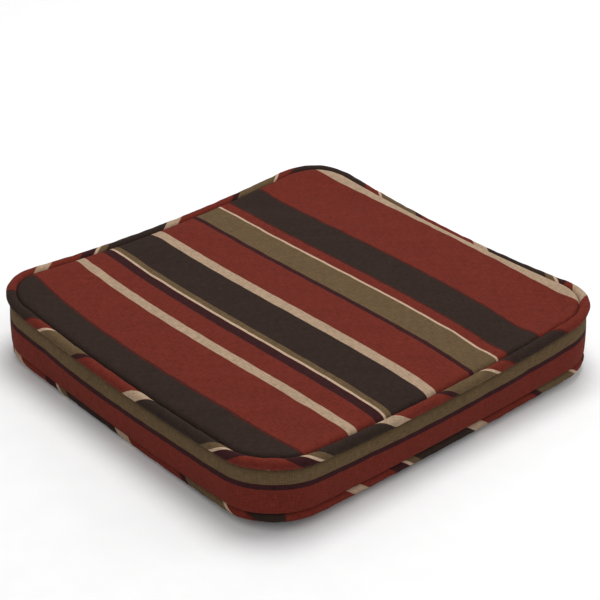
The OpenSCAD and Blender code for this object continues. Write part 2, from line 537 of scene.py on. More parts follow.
def finer(piece: bpy.types.Object, level: int = 1) -> None:
    """Smooths a piece with a live subdivision.

    Args:
        piece: The piece.
        level: How many times its faces are split.
    """
    smooth = piece.modifiers.new("finer", "SUBSURF")
    smooth.levels = smooth.render_levels = level
    smooth.boundary_smooth = "PRESERVE_CORNERS"


def ply(piece: bpy.types.Object, thickness: float, side: float = -1.0) -> None:
    """Gives a sheet its cloth thickness.

    Args:
        piece: The sheet.
        thickness: The thickness of the cloth.
        side: -1 for a thickness laid inwards, 1 for one laid outwards.
    """
    wall = piece.modifiers.new("ply", "SOLIDIFY")
    wall.thickness = thickness
    wall.offset = side
    wall.use_even_offset = False


@dataclass
class Inflation:
    """A cloth simulation that lets sewn panels settle into their slack between the seams.

    Attributes:
        pressure: How hard the filling pushes the cloth out.
        slack: The share by which the cloth is larger than its place.
        frames: How many steps the simulation runs.
        cap: The furthest that a point may move.
        pieces: The panels, with their points before the simulation.
    """

    pressure: float = 0.08
    slack: float = 0.0015
    frames: int = 20
    cap: float = 0.0020
    pieces: list[tuple[bpy.types.Object, Array]] = field(default_factory=list)

    def add(self, piece: bpy.types.Object, pinned: Array) -> None:
        """Takes a piece in.

        Args:
            piece: The piece.
            pinned: 1 at each point that a seam holds, and 0 at each free one.
        """
        group = piece.vertex_groups.new(name="seam")
        for index in np.flatnonzero(pinned > 0):
            group.add([int(index)], float(pinned[index]), "REPLACE")
        cloth = piece.modifiers.new("settle", "CLOTH")
        cloth.settings.quality = 5
        cloth.settings.mass = 0.25
        cloth.settings.tension_stiffness = 30
        cloth.settings.compression_stiffness = 20
        cloth.settings.shear_stiffness = 8
        cloth.settings.bending_stiffness = 0.4
        cloth.settings.air_damping = 4
        cloth.settings.vertex_group_mass = "seam"
        cloth.settings.use_pressure = True
        cloth.settings.uniform_pressure_force = self.pressure
        cloth.settings.shrink_min = -self.slack
        cloth.settings.shrink_max = -self.slack
        cloth.settings.effector_weights.gravity = 0
        cloth.collision_settings.use_collision = False
        cloth.point_cache.frame_start = 1
        cloth.point_cache.frame_end = self.frames
        piece.modifiers.move(len(piece.modifiers) - 1, 0)
        self.pieces.append((piece, points_of(piece.data)))

    def settle(self) -> None:
        """Runs the simulation and leaves its capped result in the meshes."""
        others = [(p, [m for m in p.modifiers if m.type != "CLOTH"]) for p, _ in self.pieces]
        for _, live in others:
            for modifier in live:
                modifier.show_viewport = False
        scene = bpy.context.scene
        for step in range(1, self.frames + 1):
            scene.frame_set(step)
        graph = bpy.context.evaluated_depsgraph_get()
        for piece, rest in self.pieces:
            moved = points_of(piece.evaluated_get(graph).data) - rest
            far = np.linalg.norm(moved, axis=1, keepdims=True)
            moved *= np.minimum(1.0, self.cap / np.maximum(far, 1e-9))
            piece.modifiers.remove(piece.modifiers["settle"])
            piece.data.vertices.foreach_set("co", (rest + moved).ravel())
            piece.data.update()
            LOG.info("%s settled by up to %.1f mm", piece.name, 1000 * float(far.max()))
        for _, live in others:
            for modifier in live:
                modifier.show_viewport = True
        scene.frame_set(1)


class Weaver:
    """Adds shader nodes to a new material and joins them up."""

    def __init__(self, name: str) -> None:
        """Starts an empty material.

        Args:
            name: The material's name.
        """
        self.material = bpy.data.materials.new(name)
        self.material.use_nodes = True
        self.tree = self.material.node_tree
        self.tree.nodes.clear()
        self.out = self.node("ShaderNodeOutputMaterial")
        self.shader = self.node("ShaderNodeBsdfPrincipled")
        self.join(self.shader.outputs["BSDF"], self.out.inputs["Surface"])

    def node(self, kind: str, **values: object) -> bpy.types.Node:
        """Makes a node.

        Args:
            kind: The node's type.
            **values: Its properties.

        Returns:
            The node.
        """
        made = self.tree.nodes.new(kind)
        for key, value in values.items():
            setattr(made, key, value)
        return made

    def join(self, source: Socket, target: Socket) -> None:
        """Links two sockets."""
        self.tree.links.new(source, target)

    def feed(self, target: Socket, value: object) -> None:
        """Feeds a socket.

        Args:
            target: The socket that is fed.
            value: The socket to link to it, or the plain value to set it to.
        """
        if isinstance(value, Socket):
            self.join(value, target)
        else:
            target.default_value = value

    def math(self, operation: str, a: object, b: object = 0.0) -> Socket:
        """Works out a sum.

        Args:
            operation: The name of the sum.
            a: The first value or socket.
            b: The second value or socket.

        Returns:
            The socket that holds the result.
        """
        made = self.node("ShaderNodeMath", operation=operation)
        self.feed(made.inputs[0], a)
        self.feed(made.inputs[1], b)
        return made.outputs[0]

    def step(self, value: object, low: float, high: float, to: tuple[float, float] = (0, 1)) -> Socket:
        """Makes a smooth step.

        Args:
            value: The value or socket that is read.
            low: The value at which the step starts.
            high: The value at which it ends.
            to: The results before and after the step.

        Returns:
            The socket that holds the result.
        """
        made = self.node("ShaderNodeMapRange", interpolation_type="SMOOTHSTEP")
        for index, item in enumerate((value, low, high, to[0], to[1])):
            self.feed(made.inputs[index], item)
        return made.outputs[0]

    def mix(self, share: object, a: object, b: object, blend: str = "MIX") -> Socket:
        """Mixes two colours.

        Args:
            share: How much of the second colour there is.
            a: The first colour.
            b: The second colour.
            blend: How they are mixed.

        Returns:
            The socket that holds the mixed colour.
        """
        made = self.node("ShaderNodeMix", data_type="RGBA", blend_type=blend)
        self.feed(made.inputs[0], share)
        self.feed(made.inputs[6], a)
        self.feed(made.inputs[7], b)
        return made.outputs[2]

    def noise(self, vector: object, scale: float, detail: float = 3.0, rough: float = 0.5) -> Socket:
        """Makes cloudy noise, about 0.5.

        Args:
            vector: The coordinates at which it is read.
            scale: How many clouds there are to a metre.
            detail: How many finer layers it has.
            rough: How strong the finer layers are.

        Returns:
            The socket that holds the noise.
        """
        made = self.node("ShaderNodeTexNoise")
        self.feed(made.inputs["Vector"], vector)
        made.inputs["Scale"].default_value = scale
        made.inputs["Detail"].default_value = detail
        made.inputs["Roughness"].default_value = rough
        return made.outputs["Fac"]

    def stretched(self, vector: object, scale: tuple[float, float, float]) -> Socket:
        """Scales coordinates.

        Args:
            vector: The coordinates.
            scale: The scale along each axis.

        Returns:
            The socket that holds the scaled coordinates.
        """
        made = self.node("ShaderNodeMapping")
        self.feed(made.inputs["Vector"], vector)
        made.inputs["Scale"].default_value = scale
        return made.outputs[0]

    def object_place(self) -> Socket:
        """The piece's own coordinates in metres."""
        return self.node("ShaderNodeTexCoord").outputs["Object"]

    def cut_place(self) -> Socket:
        """Coordinates on the flat cut in metres."""
        return self.node("ShaderNodeUVMap", uv_map="cut").outputs[0]

    def bump(self, height: object, distance: float, strength: float = 1.0) -> None:
        """Raises the surface a little where height is large.

        Args:
            height: The pattern of the relief.
            distance: How far it is raised, in metres.
            strength: How much of the relief is felt.
        """
        made = self.node("ShaderNodeBump")
        made.inputs["Strength"].default_value = strength
        made.inputs["Distance"].default_value = distance
        self.feed(made.inputs["Height"], height)
        self.join(made.outputs[0], self.shader.inputs["Normal"])

    def set(self, **values: object) -> None:
        """Sets the shader's own sockets; underscores in names stand for spaces."""
        for key, value in values.items():
            self.feed(self.shader.inputs[key.replace("_", " ")], value)


def linear(red: int, green: int, blue: int) -> Colour:
    """Turns a dye's colour into the linear colour that a shader reads.

    Args:
        red: Red in display steps, from 0 to 255.
        green: Green in display steps.
        blue: Blue in display steps.

    Returns:
        The linear colour.
    """
    return tuple(
        c / 12.92 if c <= 0.04045 else ((c + 0.055) / 1.055) ** 2.4
        for c in (red / 255, green / 255, blue / 255)
    )


class Yarn(Enum):
    """The dyed yarns of the striped cloth."""

    DARK = linear(47, 36, 31)
    MAROON = linear(72, 31, 26)
    RED = linear(101, 40, 31)
    TAN = linear(160, 136, 113)
    CREAM = linear(178, 152, 128)
    OLIVE = linear(94, 76, 54)
    PLUM = linear(52, 26, 27)


@dataclass(frozen=True)
class StripedCloth:
    """Plain-weave cloth with woven stripes; U of the cut runs across them, in metres."""

    first: Yarn = Yarn.DARK
    stripes: tuple[tuple[float, Yarn], ...] = (
        (-0.2095, Yarn.MAROON),
        (-0.2062, Yarn.RED),
        (-0.1434, Yarn.TAN),
        (-0.1309, Yarn.RED),
        (-0.1042, Yarn.PLUM),
        (-0.0920, Yarn.CREAM),
        (-0.0887, Yarn.OLIVE),
        (-0.0810, Yarn.DARK),
        (-0.0286, Yarn.TAN),
        (-0.0150, Yarn.RED),
        (0.0360, Yarn.PLUM),
        (0.0421, Yarn.OLIVE),
        (0.0780, Yarn.CREAM),
        (0.0811, Yarn.RED),
        (0.0949, Yarn.MAROON),
        (0.0972, Yarn.DARK),
        (0.1470, Yarn.MAROON),
        (0.1498, Yarn.RED),
        (0.2350, Yarn.TAN),
        (0.2560, Yarn.RED),
    )
    pitch: float = 0.00075
    edge: float = 0.0003

    def build(self, name: str) -> bpy.types.Material:
        """Makes the material.

        Args:
            name: The material's name.

        Returns:
            The finished material.
        """
        w = Weaver(name)
        cut = w.cut_place()
        split = w.node("ShaderNodeSeparateXYZ")
        w.join(cut, split.inputs[0])
        u, v = split.outputs[0], split.outputs[1]
        waver = w.math("MULTIPLY", w.math("SUBTRACT", w.noise(cut, 900.0, 2.0), 0.5), 0.0006)
        across = w.math("ADD", u, waver)
        colour: object = (*self.first.value, 1.0)
        for place, yarn in self.stripes:
            share = w.step(across, place - self.edge, place + self.edge)
            colour = w.mix(share, colour, (*yarn.value, 1.0))
        warp = w.noise(w.stretched(cut, (1.0 / self.pitch, 110.0, 1.0)), 1.0, 2.0, 0.6)
        weft = w.noise(w.stretched(cut, (90.0, 1.0 / self.pitch, 1.0)), 1.0, 2.0, 0.6)
        cloud = w.noise(cut, 26.0, 4.0, 0.6)
        warp_tone = w.step(warp, 0.25, 0.75, (0.78, 1.22))
        tone = w.math("ADD", warp_tone, w.step(weft, 0.25, 0.75, (-0.20, 0.20)))
        tone = w.math("MULTIPLY", tone, w.step(cloud, 0.2, 0.8, (0.94, 1.06)))
        shade = w.node("ShaderNodeCombineXYZ")
        for index in range(3):
            w.join(tone, shade.inputs[index])
        colour = w.mix(1.0, colour, shade.outputs[0], "MULTIPLY")
        turn = math.pi / self.pitch
        warps = w.math("SINE", w.math("MULTIPLY", u, turn))
        threads = w.math("MULTIPLY", warps, w.math("SINE", w.math("MULTIPLY", v, turn)))
        height = w.math("ADD", threads, w.math("MULTIPLY", w.math("ADD", warp, weft), 1.2))
        w.bump(height, 0.00012, 0.55)
        w.set(Base_Color=colour, Roughness=w.step(cloud, 0.2, 0.8, (0.86, 0.96)))
        w.set(Specular_IOR_Level=0.04, Sheen_Weight=0.012, Sheen_Roughness=0.5)
        return w.material


@dataclass(frozen=True)
class PlainThread:
    """Twisted sewing thread, in one colour and with one twist to a pitch."""

    colour: Colour = linear(60, 34, 30)
    pitch: float = 0.0006

    def build(self, name: str) -> bpy.types.Material:
        """Makes the material.

        Args:
            name: The material's name.

        Returns:
            The finished material.
        """
        w = Weaver(name)
        place = w.object_place()
        split = w.node("ShaderNodeSeparateXYZ")
        w.join(place, split.inputs[0])
        sum_xy = w.math("ADD", w.math("ADD", split.outputs[0], split.outputs[1]), split.outputs[2])
        twist = w.math("SINE", w.math("MULTIPLY", sum_xy, 2 * math.pi / self.pitch))
        shade = w.step(w.noise(place, 700.0), 0.3, 0.7, (0.75, 1.25))
        tint = w.node("ShaderNodeCombineXYZ")
        for index in range(3):
            w.join(shade, tint.inputs[index])
        w.set(Base_Color=w.mix(1.0, (*self.colour, 1.0), tint.outputs[0], "MULTIPLY"))
        w.set(Roughness=0.6, Sheen_Weight=0.2, Specular_IOR_Level=0.35)
        w.bump(twist, 0.00008, 0.7)
        return w.material


@dataclass(frozen=True)
class SoftFill:
    """Foam or bonded fibre: a pale mottled surface with pores or strands."""

    colour: Colour
    dark: Colour
    grain: float
    depth: float
    stretch: tuple[float, float, float] = (1.0, 1.0, 1.0)

    def build(self, name: str) -> bpy.types.Material:
        """Makes the material.

        Args:
            name: The material's name.

        Returns:
            The finished material.
        """
        w = Weaver(name)
        place = w.stretched(w.object_place(), self.stretch)
        cells = w.node("ShaderNodeTexVoronoi", feature="DISTANCE_TO_EDGE")
        w.join(place, cells.inputs["Vector"])
        cells.inputs["Scale"].default_value = self.grain
        pores = w.step(cells.outputs["Distance"], 0.0, 0.25)
        cloud = w.step(w.noise(place, self.grain / 12), 0.3, 0.7)
        colour = w.mix(pores, (*self.dark, 1.0), (*self.colour, 1.0))
        w.set(Base_Color=w.mix(w.math("MULTIPLY", cloud, 0.25), colour, (*self.dark, 1.0)))
        w.set(Roughness=0.95, Specular_IOR_Level=0.1, Sheen_Weight=0.15)
        w.bump(w.math("ADD", pores, cloud), self.depth, 0.8)
        return w.material


@dataclass(frozen=True)
class WornMetal:
    """Antique brass in random dull and bright patches, with brushed streaks."""

    bright: Colour = linear(176, 142, 92)
    dull: Colour = linear(92, 74, 50)

    def build(self, name: str) -> bpy.types.Material:
        """Makes the material.

        Args:
            name: The material's name.

        Returns:
            The finished material.
        """
        w = Weaver(name)
        place = w.object_place()
        patches = w.step(w.noise(place, 420.0, 5.0, 0.65), 0.35, 0.7)
        brushed = w.noise(w.stretched(place, (60.0, 4200.0, 4200.0)), 1.0, 3.0)
        w.set(Base_Color=w.mix(patches, (*self.dull, 1.0), (*self.bright, 1.0)))
        w.set(Metallic=1.0, Roughness=w.step(brushed, 0.2, 0.8, (0.28, 0.48)))
        w.bump(w.math("ADD", brushed, patches), 0.00003, 0.6)
        return w.material


@dataclass(frozen=True)
class ZipTape:
    """Woven tape with a herringbone rib."""

    colour: Colour = linear(44, 34, 30)
    light: Colour = linear(66, 54, 47)
    pitch: float = 0.0009

    def build(self, name: str) -> bpy.types.Material:
        """Makes the material.

        Args:
            name: The material's name.

        Returns:
            The finished material.
        """
        w = Weaver(name)
        split = w.node("ShaderNodeSeparateXYZ")
        w.join(w.cut_place(), split.inputs[0])
        fold = w.math("PINGPONG", split.outputs[1], 0.0016)
        slant = w.math("ADD", split.outputs[0], fold)
        rib = w.math("SINE", w.math("MULTIPLY", slant, 2 * math.pi / self.pitch))
        share = w.step(rib, -1.0, 1.0)
        w.set(Base_Color=w.mix(share, (*self.colour, 1.0), (*self.light, 1.0)))
        w.set(Roughness=0.85, Sheen_Weight=0.2, Specular_IOR_Level=0.2)
        w.bump(rib, 0.0001, 0.7)
        return w.material


@dataclass(frozen=True)
class NylonCoil:
    """Smooth drawn filament."""

    colour: Colour = linear(40, 30, 27)
    light: Colour = linear(58, 46, 41)

    def build(self, name: str) -> bpy.types.Material:
        """Makes the material.

        Args:
            name: The material's name.

        Returns:
            The finished material.
        """
        w = Weaver(name)
        place = w.object_place()
        mottle = w.noise(place, 300.0, 3.0)
        share = w.step(mottle, 0.3, 0.7)
        w.set(Base_Color=w.mix(share, (*self.colour, 1.0), (*self.light, 1.0)))
        w.set(Roughness=w.step(mottle, 0.3, 0.7, (0.3, 0.42)), Specular_IOR_Level=0.5)
        w.bump(w.noise(place, 1500.0, 2.0), 0.00002, 0.5)
        return w.material


@dataclass(frozen=True)
class Satin:
    """Blank white satin ribbon."""

    colour: Colour = linear(214, 208, 198)
    shaded: Colour = linear(196, 189, 178)

    def build(self, name: str) -> bpy.types.Material:
        """Makes the material.

        Args:
            name: The material's name.

        Returns:
            The finished material.
        """
        w = Weaver(name)
        cut = w.cut_place()
        ribs = w.noise(w.stretched(cut, (60.0, 3800.0, 1.0)), 1.0, 2.0)
        share = w.step(ribs, 0.3, 0.7)
        w.set(Base_Color=w.mix(share, (*self.colour, 1.0), (*self.shaded, 1.0)))
        w.set(Roughness=0.42, Sheen_Weight=0.3, Specular_IOR_Level=0.4)
        w.bump(ribs, 0.00005, 0.5)
        return w.material


def settle_piece(piece: bpy.types.Object, slot: str, *nodes: str, body: str = "pad") -> None:
    """Says what a piece rides on and which nodes it stands for.

    Args:
        piece: The finished piece.
        slot: The material slot; not used.
        nodes: The CAD nodes that it stands for.
        body: The body that it moves with.
    """
    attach(piece, body)
    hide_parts(*nodes)
    LOG.info("%s stands for %s", piece.name, ", ".join(nodes))


def spread(inner: Array, fine: float = 0.06, least: float = 0.016) -> Array:
    """Moves evenly spaced rings towards the edge, so that they are closest at the seam."""
    left = 1.0 - inner
    return 1.0 - left * (left + least) / (left + fine) * (1.0 + fine) / (1.0 + least)


def square_way(p: Array, q: Array) -> tuple[Array, Array]:
    """Turns places on a square grid into a share of the way round and a ring.

    Args:
        p: Places across the grid, from 0 to 1.
        q: Places along the grid, from 0 to 1.

    Returns:
        The share of the way round from the front left corner, and the ring from 0 to 1.
    """
    u, v = 2.0 * p - 1.0, 2.0 * q - 1.0
    ring = np.maximum(np.abs(u), np.abs(v))
    safe = np.maximum(ring, 1e-9)
    front = (v <= -ring + 1e-9) & (u < ring - 1e-9)
    right = (u >= ring - 1e-9) & (v < ring - 1e-9)
    rear = (v >= ring - 1e-9) & (u > -ring + 1e-9)
    along = np.select([front, right, rear], [u, v, -u], -v) / safe
    side = np.select([front, right, rear], [0, 1, 2], 3)
    return (side + (along + 1.0) / 2.0) / 4.0, ring


@dataclass
class Cover:
    """The panels and the boxing band of the cover.

    Attributes:
        shape: The pad's shape.
        cloth: The finish of the panels.
        band_cloth: The finish of the boxing.
        zip_half: Half the length of the zip panel.
        ply_t: Thickness of the cloth.
        allowance: Width of the cloth turned in at a seam.
        boxing_tall: Height of the boxing between its seams; not used.
        cells: How many faces a panel has each way.
        band_rows: How many faces the band has from seam to seam.
        band_pitch: Length of the band's faces.
        ripple: Height of the ripples beside the seams.
        ripples: The ripples' turns along X and Y, to a metre, and where they start.
        pull: How far the stripes are drawn outwards at the corners.
        held_in: How far in from its seam a panel is held.
        held_rows: Share of the band's height that each of its seams holds.
        held_ends: How many rows of the band the zip panel's seams hold.
        lap: How far the band runs under the zip panel's ends.
        seam_share: Share of the boxing's height that lies behind each welt.
        leave_deg: The angle round the upper welt at which the boxing leaves it.
        hug_gap: Gap between a welt and the boxing behind it.
        fullness: How squarely the boxing bulges.
        line_stripe: The stripe's edge that crosses the boxing at line_up.
        line_up: Share of the boxing's height at which it crosses.
        stripe_span: Width of striped cloth that shows on the boxing.
    """

    shape: PadShape
    cloth: bpy.types.Material
    band_cloth: bpy.types.Material
    zip_half: float
    ply_t: float = 0.0009
    allowance: float = 0.012
    boxing_tall: float = 0.057
    cells: int = 96
    band_rows: int = 14
    band_pitch: float = 0.0042
    ripple: float = 0.00005
    ripples: tuple[tuple[float, float, float], ...] = (
        (427.0, 581.0, 0.0),
        (689.3, 937.9, 1.7),
        (210.0, -170.0, 0.0),
    )
    pull: float = 0.012
    held_in: float = 0.0035
    held_rows: float = 0.14
    held_ends: int = 12
    lap: float = 0.003
    seam_share: float = 0.09
    leave_deg: float = 285.0
    hug_gap: float = 0.0006
    fullness: float = 0.7
    line_stripe: float = 0.0419
    line_up: float = 0.665
    stripe_span: float = 0.066

    def panel_grid(self, name: str, level: Level) -> WovenGrid:
        """Lays out a panel.

        Args:
            name: The name of the piece.
            level: Which panel.

        Returns:
            The panel's grid.
        """

        def place(p: Array, q: Array) -> Array:
            """Puts the grid's points on the panel.

            Args:
                p: Places across the grid, from 0 to 1.
                q: Places along the grid, from 0 to 1.

            Returns:
                The points, three numbers each.
            """
            s, ring = square_way(p, q)
            points, _, _ = self.shape.panel_ring(s, spread(ring))
            height = self.shape.top_height if level is Level.TOP else self.shape.low_height
            return np.c_[points, height(s, spread(ring))]

        def cut(corners: Array) -> Array:
            """The panel's flat cut: its plan, a little wider where it turns down.

            Args:
                corners: Places on the grid of each face's corners, and then of its middle.

            Returns:
                Places on the flat cut, in metres.
            """
            s, ring = square_way(corners[:, 0], corners[:, 1])
            points, normals, depth = self.shape.panel_ring(s, spread(ring))
            over = np.clip(1.0 - depth / self.shape.shoulder_run, 0.0, 1.0) ** 2
            flat = points + normals * (0.5 * self.shape.welt_r * over)[:, None]
            u, v = points[:, 0] / self.shape.half_w, points[:, 1] / self.shape.half_d
            flat[:, 0] += self.pull * u * np.abs(u) * v**2
            return flat

        return WovenGrid(name, self.cells, self.cells, place, cut)

    def wall(self, s: Array, up: Array) -> Array:
        """Points of the boxing.

        Args:
            s: Shares of the way round.
            up: 0 at the lower seam and 1 at the upper one.

        Returns:
            The points, three numbers each.
        """
        shape, turn, leave = self.shape, self.seam_share, self.leave_deg
        hug = shape.welt_r + self.hug_gap
        top_turn = np.clip((up - (1.0 - turn)) / turn, 0.0, 1.0)
        low_turn = np.clip((turn - up) / turn, 0.0, 1.0)
        top = shape.round_welt(s, Level.TOP, leave + (shape.seam_deg - leave) * top_turn, hug)
        hold = shape.table("cover", s)
        low = shape.round_welt(s, Level.LOW, hold + (360.0 - shape.seam_deg - hold) * low_turn, hug)
        rise = np.clip((up - turn) / (1.0 - 2.0 * turn), 0.0, 1.0)[:, None]
        mixed = low + (top - low) * rise
        _, normals = shape.seam(s, 0.0)
        belly = shape.table("swell", s) * (1.0 - (2.0 * rise[:, 0] - 1.0) ** 2) ** self.fullness
        mixed[:, :2] += normals * belly[:, None]
        return np.where((top_turn > 0)[:, None], top, np.where((low_turn > 0)[:, None], low, mixed))

    def band_cut(self, run: Array, up: Array) -> Array:
        """Flat cut of the boxing, whose U goes from the red lower edge to the olive upper one."""
        return np.c_[self.line_stripe + self.stripe_span * (up - self.line_up), run]

    def panels(self) -> list[tuple[bpy.types.Object, Array]]:
        """Makes both panels.

        Returns:
            The top and the bottom panel, each with 1 at the points that its seam holds.
        """
        made = []
        for name, level in (("striped_top_panel", Level.TOP), ("striped_bottom_panel", Level.LOW)):
            centre = Vector((0, 0, self.shape.zip_z))
            mesh = self.panel_grid(name, level).mesh(centre)
            pinned = (self.seam_distance(points_of(mesh)) < self.held_in).astype(float)
            made.append((dressed(name, mesh, self.cloth), pinned))
        return made

    def seam_distance(self, co: Array) -> Array:
        """How far points lie inside the panels' seam, in plan.

        Args:
            co: The points.

        Returns:
            One distance for each point.
        """
        shape, edge = self.shape, self.shape.seam_inset()
        r = shape.corner_r - edge
        over = np.abs(co[:, :2]) - np.array([shape.half_w - edge - r, shape.half_d - edge - r])
        outside = np.linalg.norm(np.maximum(over, 0.0), axis=1)
        return r - outside - np.minimum(over.max(axis=1), 0.0)

    def band(self) -> tuple[bpy.types.Object, Array]:
        """Makes the boxing strip, which stops at the zip panel.

        Returns:
            The strip, and 1 at each of its points that a seam holds.
        """
        shape, reach = self.shape, self.zip_half - self.lap
        start = shape.rear_middle() + reach
        stop = shape.rear_middle() - reach + shape.length()
        steps = int((stop - start) / self.band_pitch)

        def place(p: Array, q: Array) -> Array:
            """Puts the grid's points on the boxing.

            Args:
                p: Places across the grid, from 0 to 1.
                q: Places along the grid, from 0 to 1.

            Returns:
                The points, three numbers each.
            """
            return self.wall(shape.share(np.mod(start + (stop - start) * q, shape.length())), p)

        def cut(corners: Array) -> Array:
            """The strip's flat cut.

            Args:
                corners: Places on the grid of each face's corners, and then of its middle.

            Returns:
                Places on the flat cut, in metres.
            """
            return self.band_cut(start + (stop - start) * corners[:, 1], corners[:, 0])

        grid = WovenGrid("striped_boxing_band", self.band_rows, steps, place, cut)
        mesh = grid.mesh(Vector((0, 0, shape.zip_z)))
        order = np.arange(len(mesh.vertices))
        up = order % (self.band_rows + 1) / self.band_rows
        way = order // (self.band_rows + 1)
        sewn = (up < self.held_rows) | (up > 1.0 - self.held_rows)
        ended = (way < self.held_ends) | (way > way.max() - self.held_ends)
        return dressed(grid.name, mesh, self.band_cloth), (sewn | ended).astype(float)

    def build(self) -> list[bpy.types.Object]:
        """Returns:
            The top panel, the bottom panel and the boxing band.
        """
        (top, top_pins), (low, _) = self.panels()
        band, band_pins = self.band()
        self.ruffle(top, top_pins)
        self.ruffle(band, band_pins)
        settling = Inflation()
        settling.add(top, top_pins)
        settling.add(band, band_pins)
        settling.settle()
        for piece in (top, low, band):
            finer(piece)
            ply(piece, self.ply_t)
        for piece, node in ((top, "top_panel"), (low, "bottom_panel")):
            settle_piece(piece, "striped_cloth", node)
        settle_piece(band, "boxing_cloth", "boxing_strip")
        band_long = self.shape.length() - 2 * self.zip_half + 2 * self.allowance
        return [top, low, band]

    def ruffle(self, piece: bpy.types.Object, pinned: Array) -> None:
        """Ripples the cloth beside its seams a little, where puckers start.

        Args:
            piece: The piece to ripple.
            pinned: 1 where a seam holds the piece.
        """
        co = points_of(piece.data)
        wave = sum(np.sin(a * co[:, 0] + b * co[:, 1] + start) for a, b, start in self.ripples)
        normals = np.zeros(len(co) * 3)
        piece.data.vertices.foreach_get("normal", normals)
        co += normals.reshape(-1, 3) * (self.ripple * wave * (1.0 - pinned))[:, None]
        piece.data.vertices.foreach_set("co", co.ravel())
        piece.data.update()


@dataclass(frozen=True)
class BiasStrip:
    """One length of bias-cut casing.

    Attributes:
        start: The length of seam at which it starts.
        stop: The length of seam at which it ends.
        stripe_at_start: The place across the stripes at its start.
        direction: Whether the stripes are crossed from left to right, 1, or back, -1.
        angle: The angle at which the casing crosses the stripes, in degrees.
    """

    start: float
    stop: float
    stripe_at_start: float
    direction: float = 1.0
    angle: float = 37.0


